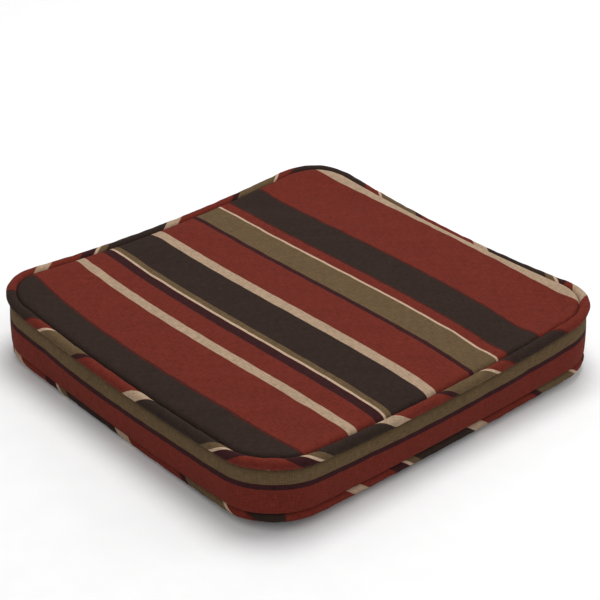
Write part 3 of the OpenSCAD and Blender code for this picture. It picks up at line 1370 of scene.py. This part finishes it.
@dataclass
class Welt:
    """One welt: a filler cord in a bias-cut casing, and the seam thread behind it.

    Attributes:
        shape: The pad's shape.
        level: Which welt.
        cloth: The finish of the casing.
        filler: The finish of the cord.
        thread: The finish of the seam's thread.
        strips: The lengths of casing, in order.
        ply_t: Thickness of the cloth.
        allowance: Width of each of the casing's flanges before they are sewn; not used.
        flange: Width of a flange that shows inside the cover.
        flange_share: Share of the casing's faces that each flange has.
        wrap_deg: How far the casing goes round the cord, in degrees.
        steps: How many faces the casing has along the seam.
        sides: How many faces the casing has round the cord.
        lump: How far the welt's radius wavers.
        lump_waves: How often it wavers round the pad, and where each wave starts.
        cord_gap: Gap between the cord and its casing.
        twist_pitch: Length of one twist of the cord's strands.
        strands: How many strands the cord has.
        lobe: How deep the cord's strands are cut, as a share of its radius.
        cord_sides: How many faces the cord has round it.
        cord_steps: How many faces the cord has along it.
        stitch_pitch: Distance from stitch to stitch.
        stitch_share: Share of that distance that a stitch takes.
        stitch_r: Half the thread's thickness.
        seam_gap: Distance from the welt to the seam behind it.
    """

    shape: PadShape
    level: Level
    cloth: bpy.types.Material
    filler: bpy.types.Material
    thread: bpy.types.Material
    strips: tuple[BiasStrip, ...]
    ply_t: float = 0.0009
    allowance: float = 0.012
    flange: float = 0.009
    flange_share: float = 0.16
    wrap_deg: float = 350.0
    steps: int = 760
    sides: int = 20
    lump: float = 0.00012
    lump_waves: tuple[tuple[int, float], ...] = ((37, 0.0), (61, 1.1), (97, 0.4))
    cord_gap: float = 0.0003
    twist_pitch: float = 0.028
    strands: int = 3
    lobe: float = 0.07
    cord_sides: int = 18
    cord_steps: int = 560
    stitch_pitch: float = 0.0036
    stitch_share: float = 0.72
    stitch_r: float = 0.00025
    seam_gap: float = 0.0018

    @property
    def place_name(self) -> str:
        """The welt's level as it stands in the node names."""
        return "top" if self.level is Level.TOP else "bottom"

    def lumps(self, s: Array) -> Array:
        """How much the welt's radius wavers along its length."""
        run = self.shape.run(np.mod(s, 1.0)) * 2 * math.pi / self.shape.length()
        return self.lump * sum(np.sin(count * run + start) for count, start in self.lump_waves)

    def casing(self) -> bpy.types.Object:
        """Makes the casing: a flange, the round and the other flange.

        Returns:
            The casing.
        """
        shape, inner = self.shape, self.flange_share
        sign = self.level.value
        first = sign * (shape.seam_deg - 180.0 - self.wrap_deg / 2)

        def place(p: Array, q: Array) -> Array:
            """Puts the grid's points round the cord.

            Args:
                p: Places across the grid, from 0 to 1.
                q: Places along the grid, from 0 to 1.

            Returns:
                The points, three numbers each.
            """
            around = np.clip((p - inner) / (1.0 - 2.0 * inner), 0.0, 1.0)
            degrees = first + around * self.wrap_deg * sign
            co = shape.round_welt(q, self.level, degrees, shape.welt_r + self.lumps(q))
            away = np.maximum(inner - p, p - (1.0 - inner)) / inner * self.flange
            _, normals = shape.seam(np.mod(q, 1.0), 0.0)
            co[:, :2] -= normals * np.maximum(away, 0.0)[:, None]
            return co

        def cut(corners: Array) -> Array:
            """The bias cut: each strip crosses the stripes at its own angle.

            Args:
                corners: Places on the grid of each face's corners, and then of its middle.

            Returns:
                Places on the flat cut, in metres.
            """
            run = shape.run(np.clip(corners[:, 1], 0.0, 1.0))
            middle = shape.run(np.clip(corners[:, 3], 0.0, 1.0))
            wrap = math.radians(self.wrap_deg) * shape.welt_r
            around = sign * wrap * (corners[:, 0] - 0.5) / (1.0 - 2.0 * inner)
            u, v = np.zeros(len(run)), np.zeros(len(run))
            for strip in self.strips:
                on = (middle >= strip.start) & (middle < strip.stop)
                along = (run - strip.start) * strip.direction
                sin, cos = math.sin(math.radians(strip.angle)), math.cos(math.radians(strip.angle))
                u = np.where(on, strip.stripe_at_start + along * sin + around * cos, u)
                v = np.where(on, along * cos - around * sin, v)
            return np.c_[u, v]

        name = f"bias_{self.place_name}_welt"
        grid = WovenGrid(name, 10 + self.sides, self.steps, place, cut, closed=True)
        mesh = grid.mesh(Vector((0, 0, shape.zip_z)))
        return dressed(grid.name, mesh, self.cloth)

    def cord(self) -> bpy.types.Object:
        """Makes the filler cord, spun from its strands.

        Returns:
            The cord.
        """
        shape, radius = self.shape, self.shape.welt_r - self.ply_t - self.cord_gap
        turns = round(shape.length() / self.twist_pitch)

        def place(p: Array, q: Array) -> Array:
            """Puts the grid's points round the cord's lobes.

            Args:
                p: Places across the grid, from 0 to 1.
                q: Places along the grid, from 0 to 1.

            Returns:
                The points, three numbers each.
            """
            twist = 2 * math.pi * (p + turns * q)
            lobes = 1.0 - self.lobe * (1.0 - np.cos(self.strands * twist))
            return shape.round_welt(q, self.level, 360.0 * p, radius * lobes)

        name, plain = f"spun_{self.place_name}_cord", lambda corners: corners[:, :2]
        grid = WovenGrid(name, self.cord_sides, self.cord_steps, place, plain, closed=True)
        return dressed(grid.name, grid.mesh(Vector((0, 0, shape.zip_z))), self.filler)

    def stitches(self) -> bpy.types.Object:
        """Makes the row of lock stitches that holds the seam, just inside the welt.

        Returns:
            The row.
        """
        shape = self.shape
        count = round(shape.length() / self.stitch_pitch)
        s = (np.arange(count) + 0.5) / count
        ends = self.stitch_share / 2 / count
        angle, radius = shape.seam_deg * self.level.value, shape.welt_r + self.seam_gap
        a = shape.round_welt(s - ends, self.level, angle, radius)
        b = shape.round_welt(s + ends, self.level, angle, radius)
        return stitched(f"{self.place_name}_seam_stitches", a, b, self.stitch_r, self.thread)

    def build(self) -> None:
        casing, cord, row = self.casing(), self.cord(), self.stitches()
        ply(casing, self.ply_t * PRESSED)
        settle_piece(casing, "bias_cloth", f"{self.place_name}_welt_casing")
        self.shape.length()
        settle_piece(cord, "welt_filler", f"{self.place_name}_welt_cord")
        settle_piece(row, "thread", f"{self.place_name}_seam_thread")


def stitched(name: str, a: Array, b: Array, radius: float, finish: bpy.types.Material) -> bpy.types.Object:
    """Makes a row of short stitches.

    Args:
        name: The name of the row.
        a: The first end of each stitch.
        b: The second end of each stitch.
        radius: Half the thread's thickness.
        finish: The thread's material.

    Returns:
        One object that holds all the stitches.
    """
    bm = bmesh.new()
    bmesh.ops.create_uvsphere(bm, u_segments=6, v_segments=6, radius=1.0)
    mould = bpy.data.meshes.new(name)
    bm.to_mesh(mould)
    bm.clear()
    for start, end in zip(a, b):
        first = len(bm.verts)
        bm.from_mesh(mould)
        bm.verts.ensure_lookup_table()
        line = Vector(end) - Vector(start)
        turn = line.to_track_quat("Z", "Y").to_matrix().to_4x4()
        size = Matrix.Diagonal((radius, radius, line.length / 2, 1.0))
        centre = Matrix.Translation((Vector(start) + Vector(end)) / 2)
        bmesh.ops.transform(bm, matrix=centre @ turn @ size, verts=bm.verts[first:])
    bm.to_mesh(mould)
    bm.free()
    return dressed(name, mould, finish)


@dataclass
class ZipClosure:
    """The zip panel along the rear: plackets, tapes, coils, stops, topstitching and label.

    Attributes:
        shape: The pad's shape.
        cover: The cover that the zip panel closes.
        cloth: The finish of the plackets.
        thread: The finish of the topstitching.
        tape: The finish of the tapes.
        nylon: The finish of the coils.
        metal: The finish of the slider, pull and stops.
        ribbon: The finish of the label.
        ply_t: Thickness of the cloth.
        turn_in: Width of the placket's fold.
        allowance: Width of the placket turned in at its seam; not used.
        face_share: Share of a placket's faces that lie on its outer side.
        bend_part: Share of its outer side over which it follows the boxing.
        bend_up: Share of the boxing's height at which it leaves the boxing.
        fold_part: Share of the turned-in faces that make the fold.
        cut_face: Share of the striped cloth's span on a placket's outer side.
        cut_fold: Width of striped cloth turned in, for all of a placket's faces.
        placket_cells: How many faces a placket has each way.
        tape_cells: How many faces a tape has each way.
        wire_r: Half the thickness of the coil's filament.
        coil_pitch: Length of one turn of the coil.
        coil_gap: Distance from the chain's middle to each coil.
        wire_sides: How many faces the filament has round it.
        turn_steps: How many faces the filament has along a turn.
        stitch_pitch: Distance from topstitch to topstitch.
        stitch_half: Half the length of a topstitch.
        label_gap: Distance from the label's place in the frame to its sewn edge.
        label_curl: How far the label's free edge stands off.
        label_bow: Share of the curl that fades towards the label's ends.
        label_cells: How many faces the label has each way.
    """

    shape: PadShape
    cover: Cover
    cloth: bpy.types.Material
    thread: bpy.types.Material
    tape: bpy.types.Material
    nylon: bpy.types.Material
    metal: bpy.types.Material
    ribbon: bpy.types.Material
    ply_t: float = 0.0009
    turn_in: float = 0.012
    allowance: float = 0.012
    face_share: float = 0.62
    bend_part: float = 0.3
    bend_up: float = 0.16
    fold_part: float = 0.25
    cut_face: float = 0.46
    cut_fold: float = 0.03
    placket_cells: tuple[int, int] = (40, 120)
    tape_cells: tuple[int, int] = (6, 90)
    wire_r: float = 0.00034
    coil_pitch: float = 0.0017
    coil_gap: float = 0.00025
    wire_sides: int = 6
    turn_steps: int = 12
    stitch_pitch: float = 0.0034
    stitch_half: float = 0.0013
    label_gap: float = 0.0015
    label_curl: float = 0.0012
    label_bow: float = 0.4
    label_cells: tuple[int, int] = (12, 24)

    def placket(self, level: Level) -> bpy.types.Object:
        """Makes one placket, folded back on itself beside the chain.

        Args:
            level: Which placket.

        Returns:
            The placket.
        """
        name = "placket_upper" if level is Level.TOP else "placket_lower"
        low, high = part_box(name)
        fold_z = low.z if level is Level.TOP else high.z
        face_y, back_y = high.y, high.y - 2 * self.ply_t
        mid_y, fold_r = (face_y + back_y) / 2, (face_y - back_y) / 2
        half, sign = high.x, level.value
        seam_up = 1.0 if level is Level.TOP else 0.0
        leave_up = seam_up - sign * self.bend_up
        shape, cover, outer = self.shape, self.cover, self.face_share

        def face(x: Array, s: Array, part: Array) -> Array:
            """The outer side: along the boxing first, and then straight to the fold.

            Args:
                x: Places along the rear.
                s: Shares of the way round the pad.
                part: Places from the seam, 0, to the fold, 1.

            Returns:
                The points, three numbers each.
            """
            along = np.minimum(part / self.bend_part, 1.0)
            bent = cover.wall(s, seam_up + (leave_up - seam_up) * along)
            start = cover.wall(s, np.full(len(s), leave_up))
            down = np.clip((part - self.bend_part) / (1.0 - self.bend_part), 0.0, 1.0)
            y = start[:, 1] + (face_y - start[:, 1]) * (3 * down**2 - 2 * down**3)
            z = start[:, 2] + (fold_z - start[:, 2]) * down
            return np.where((part < self.bend_part)[:, None], np.c_[x, bent[:, 1:]], np.c_[x, y, z])

        def fold(x: Array, turned: Array) -> Array:
            """The fold and the turned-in side.

            Args:
                x: Places along the rear.
                turned: Places from the fold's start, 0, to the raw edge, 1.

            Returns:
                The points, three numbers each.
            """
            angle = math.pi * np.clip(turned / self.fold_part, 0.0, 1.0)
            inside = np.clip((turned - self.fold_part) / (1.0 - self.fold_part), 0.0, 1.0)
            up = self.turn_in * inside + fold_r - fold_r * np.sin(angle)
            return np.c_[x, mid_y + fold_r * np.cos(angle), fold_z + sign * up]

        def place(p: Array, q: Array) -> Array:
            """Puts the grid's points on the face, the fold and the turned-in part.

            Args:
                p: Places across the grid, from 0 to 1.
                q: Places along the grid, from 0 to 1.

            Returns:
                The points, three numbers each.
            """
            x = -half + 2 * half * q
            s = shape.share(shape.rear_middle() - x)
            front = face(x, s, np.clip(p / outer, 0.0, 1.0))
            back = fold(x, np.clip((p - outer) / (1.0 - outer), 0.0, 1.0))
            return np.where((p > outer)[:, None], back, front)

        def cut(corners: Array) -> Array:
            """The placket's flat cut.

            Args:
                corners: Places on the grid of each face's corners, and then of its middle.

            Returns:
                Places on the flat cut, in metres.
            """
            up = seam_up - sign * self.cut_face * np.clip(corners[:, 0] / outer, 0.0, 1.0)
            flat = cover.band_cut(2 * half * corners[:, 1], up)
            flat[:, 0] -= sign * self.cut_fold * np.clip(corners[:, 0] - outer, 0.0, 1.0)
            return flat

        grid = WovenGrid(f"folded_{name}", *self.placket_cells, place, cut)
        piece = dressed(grid.name, grid.mesh(Vector((0, 0, shape.zip_z))), self.cloth)
        ply(piece, self.ply_t * PRESSED)
        settle_piece(piece, "boxing_cloth", name)
        return piece

    def tapes(self) -> None:
        """Makes the two woven tapes."""
        for name in ("zip_tape_upper", "zip_tape_lower"):
            low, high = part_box(name)

            def place(p: Array, q: Array) -> Array:
                """Puts the grid's points on the tape's front.

                Args:
                    p: Places across the grid, from 0 to 1.
                    q: Places along the grid, from 0 to 1.

                Returns:
                    The points, three numbers each.
                """
                return np.c_[
                    low.x + (high.x - low.x) * q,
                    np.full(len(p), high.y),
                    low.z + (high.z - low.z) * p,
                ]

            def cut(corners: Array) -> Array:
                """The tape's flat cut.

                Args:
                    corners: Places on the grid of each face's corners, and then of its middle.

                Returns:
                    Places on the flat cut, in metres.
                """
                return np.c_[(high.x - low.x) * corners[:, 1], (high.z - low.z) * corners[:, 0]]

            grid = WovenGrid(f"woven_{name}", *self.tape_cells, place, cut)
            piece = dressed(grid.name, grid.mesh(Vector((0, 0, self.shape.zip_z))), self.tape)
            ply(piece, high.y - low.y)
            settle_piece(piece, "zip_tape", name)

    def coils(self) -> None:
        """Makes the two wound halves of the chain."""
        wire = self.wire_r
        for sign, name in ((1, "zip_coil_upper"), (-1, "zip_coil_lower")):
            low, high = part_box(name)
            length, turns = high.x - low.x, round((high.x - low.x) / self.coil_pitch)
            centre = (low + high) / 2
            inner = self.coil_gap
            outer = (high.z - low.z) / 2 + abs(centre.z - self.shape.zip_z)
            half_z, mid_z = (outer - inner) / 2, self.shape.zip_z + sign * (outer + inner) / 2
            half_y = (high.y - low.y) / 2 - wire
            phase = 0.0 if sign > 0 else math.pi

            def place(p: Array, q: Array) -> Array:
                """Puts the grid's points round the wound wire.

                Args:
                    p: Places across the grid, from 0 to 1.
                    q: Places along the grid, from 0 to 1.

                Returns:
                    The points, three numbers each.
                """
                t = 2 * math.pi * turns * q + phase
                line = np.c_[low.x + length * q, centre.y + half_y * np.sin(t), mid_z + half_z * np.cos(t)]
                radial = np.c_[np.zeros(len(t)), np.sin(t), np.cos(t)]
                around = 2 * math.pi * p
                axis = np.c_[np.ones(len(t)), np.zeros(len(t)), np.zeros(len(t))]
                return line + wire * (np.cos(around)[:, None] * radial + np.sin(around)[:, None] * axis)

            steps, plain = turns * self.turn_steps, lambda corners: corners[:, :2]
            grid = WovenGrid(f"wound_{name}", self.wire_sides, steps, place, plain, closed=True)
            mesh = grid.mesh(Vector((0, 0, self.shape.zip_z)))
            self.cap(mesh)
            piece = dressed(grid.name, mesh, self.nylon)
            settle_piece(piece, "zip_coil", name)

    @staticmethod
    def cap(mesh: bpy.types.Mesh) -> None:
        """Closes a tube's open ends and turns its faces outwards.

        Args:
            mesh: The tube's mesh.
        """
        bm = bmesh.new()
        bm.from_mesh(mesh)
        bmesh.ops.holes_fill(bm, edges=[e for e in bm.edges if e.is_boundary])
        bmesh.ops.recalc_face_normals(bm, faces=bm.faces)
        bm.to_mesh(mesh)
        bm.free()

    def topstitching(self) -> None:
        """Makes the two rows of stitches that hold the plackets to the tapes."""
        low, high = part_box("zip_stitching")
        count = round((high.x - low.x) / self.stitch_pitch)
        x = low.x + (high.x - low.x) * (np.arange(count) + 0.5) / count
        radius = (high.y - low.y) / 2
        starts, ends = [], []
        for z in (low.z + radius, high.z - radius):
            y = np.full(count, (low.y + high.y) / 2)
            starts.append(np.c_[x - self.stitch_half, y, np.full(count, z)])
            ends.append(np.c_[x + self.stitch_half, y, np.full(count, z)])
        a, b = np.concatenate(starts), np.concatenate(ends)
        row = stitched("topstitching", a, b, radius, self.thread)
        settle_piece(row, "thread", "zip_stitching")

    def care_label(self) -> None:
        """Makes the blank label, which stands up from the lower seam over the placket."""
        low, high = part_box("care_label")
        wide, tall = high.x - low.x, high.z - low.z
        shape = self.shape
        rear = (Side.REAR.value + 0.5) / len(Side)

        def place(p: Array, q: Array) -> Array:
            """Puts the grid's points just outside the placket.

            Args:
                p: Places across the grid, from 0 to 1.
                q: Places along the grid, from 0 to 1.

            Returns:
                The points, three numbers each.
            """
            bow = 1.0 - self.label_bow * (1.0 - np.cos(math.pi * (2 * q - 1)))
            off = self.label_gap + self.label_curl * p**2 * bow
            seam_z = shape.welt_height(np.full(len(p), rear), Level.LOW) + shape.welt_r
            return np.c_[low.x + wide * q, high.y + off, seam_z + tall * p]

        def cut(corners: Array) -> Array:
            """The label's flat cut.

            Args:
                corners: Places on the grid of each face's corners, and then of its middle.

            Returns:
                Places on the flat cut, in metres.
            """
            return np.c_[wide * corners[:, 1], tall * corners[:, 0]]

        grid = WovenGrid("satin_label", *self.label_cells, place, cut)
        piece = dressed(grid.name, grid.mesh(Vector((0, 0, shape.zip_z))), self.ribbon)
        ply(piece, high.y - low.y)
        settle_piece(piece, "label", "care_label")

    def build(self) -> None:
        """Makes the closure's pieces and gives its metal parts their finish."""
        for level in Level:
            self.placket(level)
        self.tapes()
        self.coils()
        self.topstitching()
        self.care_label()
        for name in ("zip_slider", "zip_pull", "zip_bottom_stop", "zip_top_stops"):
            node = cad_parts[name]
            node.data.materials.clear()
            node.data.materials.append(self.metal)
            LOG.info("%s keeps its own shape", name)


@dataclass
class Filling:
    """The foam core and the two halves of its fibre wrap.

    Attributes:
        shape: The pad's shape.
        foam: The finish of the core.
        fibre: The finish of the wrap.
        core_inset: How far the core's sides lie inside the boxing.
        core_above: Height of the core's underside above the bottom panel.
        core_below: Distance from the core's top to the top panel.
        cells: How many faces the core has each way.
        wrap_t: Thickness of the wrap.
        wrap_under: Distance from a panel to the wrap behind it.
        wrap_flat: Share of the wrap's faces that lie on the core's top or underside.
        wrap_edge: How far the wrap's turn starts inside the boxing.
        wrap_side: How far the wrap's sides lie inside the boxing.
        wrap_bend: Height of the wrap's turn.
        wrap_turn: Share of the wrap's side faces that make the turn.
        wrap_meet: Distance from the wrap's edge to the chain's height.
        zip_room: Room that the wrap leaves behind the zip.
        wrap_cells: How many faces the wrap has each way.
    """

    shape: PadShape
    foam: bpy.types.Material
    fibre: bpy.types.Material
    core_inset: float = 0.0235
    core_above: float = 0.0085
    core_below: float = 0.0095
    cells: int = 48
    wrap_t: float = 0.005
    wrap_under: float = 0.002
    wrap_flat: float = 0.84
    wrap_edge: float = 0.0195
    wrap_side: float = 0.0075
    wrap_bend: float = 0.012
    wrap_turn: float = 0.4
    wrap_meet: float = 0.0006
    zip_room: float = 0.010
    wrap_cells: int = 72

    def core(self) -> bpy.types.Object:
        """Makes the foam block, which follows the sagging cover.

        Returns:
            The block.
        """
        shape, inset, name = self.shape, self.core_inset, "foam_block"
        bm = bmesh.new()
        bmesh.ops.create_cube(bm, size=2.0)
        bmesh.ops.subdivide_edges(bm, edges=bm.edges, cuts=self.cells - 1, use_grid_fill=True)
        mesh = bpy.data.meshes.new(name)
        bm.to_mesh(mesh)
        bm.free()
        co = points_of(mesh)
        s, ring = square_way((co[:, 0] + 1) / 2, (co[:, 1] + 1) / 2)
        half_w, half_d = shape.half_w - inset, shape.half_d - inset
        radius = np.maximum(shape.corner_r - inset - (1 - ring) * half_w, 0.0)
        points, _ = shape.ring(s, half_w * ring, half_d * ring, radius)
        inner = ring * half_w / shape.half_w
        low = shape.low_height(s, inner) + self.core_above
        high = shape.top_height(s, inner) - self.core_below
        placed = np.c_[points, low + (high - low) * (co[:, 2] + 1) / 2]
        mesh.vertices.foreach_set("co", placed.ravel())
        mesh.update()
        outward(mesh, Vector((0, 0, shape.zip_z)))
        return dressed(name, mesh, self.foam)

    def wrap(self, level: Level) -> bpy.types.Object:
        """Makes one half of the fibre wrap: it covers a face of the foam and half its sides.

        Args:
            level: Which half.

        Returns:
            The half.
        """
        shape, sign, edge_in = self.shape, level.value, self.wrap_edge
        name = "upper_fibre_wrap" if level is Level.TOP else "lower_fibre_wrap"
        panel = shape.top_height if level is Level.TOP else shape.low_height

        def place(p: Array, q: Array) -> Array:
            """Puts the grid's points under the panel and down inside the boxing.

            Args:
                p: Places across the grid, from 0 to 1.
                q: Places along the grid, from 0 to 1.

            Returns:
                The points, three numbers each.
            """
            s, ring = square_way(p, q)
            on_top = np.clip(ring / self.wrap_flat, 0.0, 1.0)
            _, side, reach = shape.way(s)
            rear = np.where(side == Side.REAR.value, 1.0 - reach**4, 0.0)
            half_w, half_d = shape.half_w - edge_in, shape.half_d - edge_in
            radius = np.maximum(shape.corner_r - edge_in - (1 - on_top) * half_w, 0.0)
            points, normals = shape.ring(s, half_w * on_top, half_d * on_top, radius)
            edge_ring = np.full(len(s), 1 - edge_in / shape.half_w)
            z = panel(s, on_top * edge_ring) - sign * self.wrap_under
            edge = panel(s, edge_ring) - sign * self.wrap_under
            fall = np.clip((ring - self.wrap_flat) / (1.0 - self.wrap_flat), 0.0, 1.0)
            turn = np.clip(fall / self.wrap_turn, 0.0, 1.0) * math.pi / 2
            down = np.clip((fall - self.wrap_turn) / (1.0 - self.wrap_turn), 0.0, 1.0)
            out = (edge_in - self.wrap_side - self.zip_room * rear) * np.sin(turn)
            z_turn = edge - sign * self.wrap_bend * (1 - np.cos(turn))
            z_side = z_turn + (shape.zip_z + sign * self.wrap_meet - z_turn) * down
            points = points + normals * (out * (fall > 0))[:, None]
            return np.c_[points, np.where(fall > 0, z_side, z)]

        cells = self.wrap_cells
        grid = WovenGrid(name, cells, cells, place, lambda corners: corners[:, :2])
        piece = dressed(name, grid.mesh(Vector((0, 0, shape.zip_z))), self.fibre)
        ply(piece, self.wrap_t)
        return piece

    def build(self) -> None:
        core = self.core()
        settle_piece(core, "foam", "foam_core")
        for level, node in ((Level.TOP, "upper_wrap"), (Level.LOW, "lower_wrap")):
            piece = self.wrap(level)
            settle_piece(piece, "fibre_wrap", node)


@dataclass
class Studio:
    """The floor, the light and the camera.

    Attributes:
        azimuth: The camera's direction round the pad, in degrees from the front.
        elevation: The camera's angle above the floor, in degrees.
        distance: The camera's distance from its target.
        lens: Focal length, in millimetres.
        sensor: Width of the sensor, in millimetres.
        target: The point that the camera looks at.
        floor_half: Half the width of the floor.
        floor_z: Height of the floor, just below the pad.
        sky: Strength of the surrounding light.
    """

    azimuth: float = -41.165
    elevation: float = 30.498
    distance: float = 2.0993
    lens: float = 104.05
    sensor: float = 36.0
    target: tuple[float, float, float] = (0.06707, 0.07019, 0.0178)
    floor_half: float = 6.0
    floor_z: float = -0.0006
    sky: float = 0.60

    def camera(self) -> None:
        """Places the camera."""
        az, el = math.radians(self.azimuth), math.radians(self.elevation)
        back = Vector((math.sin(az) * math.cos(el), -math.cos(az) * math.cos(el), math.sin(el)))
        data = bpy.data.cameras.new("studio_camera")
        data.lens, data.sensor_width = self.lens, self.sensor
        data.clip_start, data.clip_end = 0.05, 50.0
        camera = bpy.data.objects.new("studio_camera", data)
        camera.location = Vector(self.target) + back * self.distance
        camera.rotation_mode = "QUATERNION"
        camera.rotation_quaternion = (-back).to_track_quat("-Z", "Y")
        bpy.context.scene.collection.objects.link(camera)
        bpy.context.scene.camera = camera

    def floor(self) -> None:
        """Makes the plain pale floor."""
        bm = bmesh.new()
        bmesh.ops.create_grid(bm, x_segments=2, y_segments=2, size=self.floor_half)
        bmesh.ops.translate(bm, verts=bm.verts, vec=(0.0, 0.0, self.floor_z))
        mesh = bpy.data.meshes.new("studio_floor")
        bm.to_mesh(mesh)
        bm.free()
        w = Weaver("floor_paint")
        grain = w.noise(w.object_place(), 30.0, 3.0)
        paint = w.mix(w.step(grain, 0.3, 0.7), (0.90, 0.90, 0.90, 1), (0.915, 0.915, 0.915, 1))
        w.set(Base_Color=paint)
        w.set(Roughness=0.9, Specular_IOR_Level=0.1)
        dressed("studio_floor", mesh, w.material)

    def lamp(self, name: str, place: tuple[float, float, float], size: float, power: float) -> None:
        """Hangs one soft lamp that shines at the pad.

        Args:
            name: The lamp's name.
            place: Where it hangs.
            size: Its width.
            power: Its power, in watts.
        """
        data = bpy.data.lights.new(name, "AREA")
        data.shape, data.size, data.energy = "DISK", size, power
        lamp = bpy.data.objects.new(name, data)
        lamp.location = place
        lamp.rotation_mode = "QUATERNION"
        lamp.rotation_quaternion = (-Vector(place)).to_track_quat("-Z", "Y")
        bpy.context.scene.collection.objects.link(lamp)

    def light(self) -> None:
        """Sets the soft surrounding light and the lamps."""
        world = bpy.data.worlds.new("studio_world")
        world.use_nodes = True
        sky = world.node_tree.nodes["Background"]
        sky.inputs["Color"].default_value = (1.0, 1.0, 1.0, 1.0)
        sky.inputs["Strength"].default_value = self.sky
        bpy.context.scene.world = world
        self.lamp("high_lamp", (0.5, 0.3, 2.6), 1.6, 42.0)
        self.lamp("right_lamp", (2.2, -1.2, 1.4), 1.4, 10.0)

    def build(self) -> None:
        """Makes the whole studio."""
        self.camera()
        self.floor()
        self.light()
        view = bpy.context.scene.view_settings
        view.view_transform, view.look = "Standard", "None"


def welt_strips(shape: PadShape, level: Level) -> tuple[BiasStrip, ...]:
    """The joined lengths of a casing, each with its own place in the stripes.

    Args:
        shape: The pad's shape.
        level: Which welt.

    Returns:
        The strips, in the order in which they go round from the front left corner.
    """
    front, right, rear, left = (shape.side_run(side) for side in Side)
    whole = front + right + rear + left
    left_start = whole - left
    if level is Level.TOP:
        return (
            BiasStrip(0.0, 0.180, -0.1177, 1.0, 38.0),
            BiasStrip(0.180, front - 0.025, 0.0051, 1.0, 38.5),
            BiasStrip(front - 0.025, front + 0.050, 0.2128, 1.0, 38.0),
            BiasStrip(front + 0.050, front + right, -0.104, 1.0, 35.0),
            BiasStrip(front + right, left_start + 0.015, 0.110, -1.0, 36.9),
            BiasStrip(left_start + 0.015, whole - 0.120, -0.1404 + 0.6 * (left - 0.015), -1.0, 36.9),
            BiasStrip(whole - 0.120, whole, -0.0554, -1.0, 35.1),
        )
    return (
        BiasStrip(0.0, 0.016, 0.102, 1.0, 34.4),
        BiasStrip(0.016, front + 0.2, -0.1996, 1.0, 40.5),
        BiasStrip(front + 0.2, left_start - 0.23, -0.20, 1.0, 37.0),
        BiasStrip(left_start - 0.23, left_start, -0.19, 1.0, 37.0),
        BiasStrip(left_start, whole, 0.102 - 0.565 * left, 1.0, 34.4),
    )


def main() -> None:
    """Builds the seat pad's visible model piece by piece."""
    logging.basicConfig(level=logging.INFO, format="%(name)s: %(message)s")
    shape = read_shape()
    Studio().build()
    cloth = StripedCloth().build("striped_cloth_finish")
    thread = PlainThread().build("thread_finish")
    cover = Cover(shape, cloth, cloth, zip_half=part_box("placket_upper")[1].x)
    cover.build()
    cotton = SoftFill(linear(232, 226, 210), linear(196, 186, 164), grain=900.0, depth=0.0003)
    filler = cotton.build("filler_finish")
    for level in Level:
        Welt(shape, level, cloth, filler, thread, welt_strips(shape, level)).build()
    tape, nylon = ZipTape().build("zip_tape_finish"), NylonCoil().build("zip_coil_finish")
    metal, ribbon = WornMetal().build("zip_metal_finish"), Satin().build("satin_finish")
    ZipClosure(shape, cover, cloth, thread, tape, nylon, metal, ribbon).build()
    foam = SoftFill(linear(236, 222, 176), linear(190, 170, 118), grain=650.0, depth=0.0005)
    fibre = SoftFill(linear(244, 244, 240), linear(214, 214, 208), 420.0, 0.0006, stretch=(1, 1, 3))
    Filling(shape, foam.build("foam_finish"), fibre.build("fibre_finish")).build()


if __name__ == "__main__":
    main()
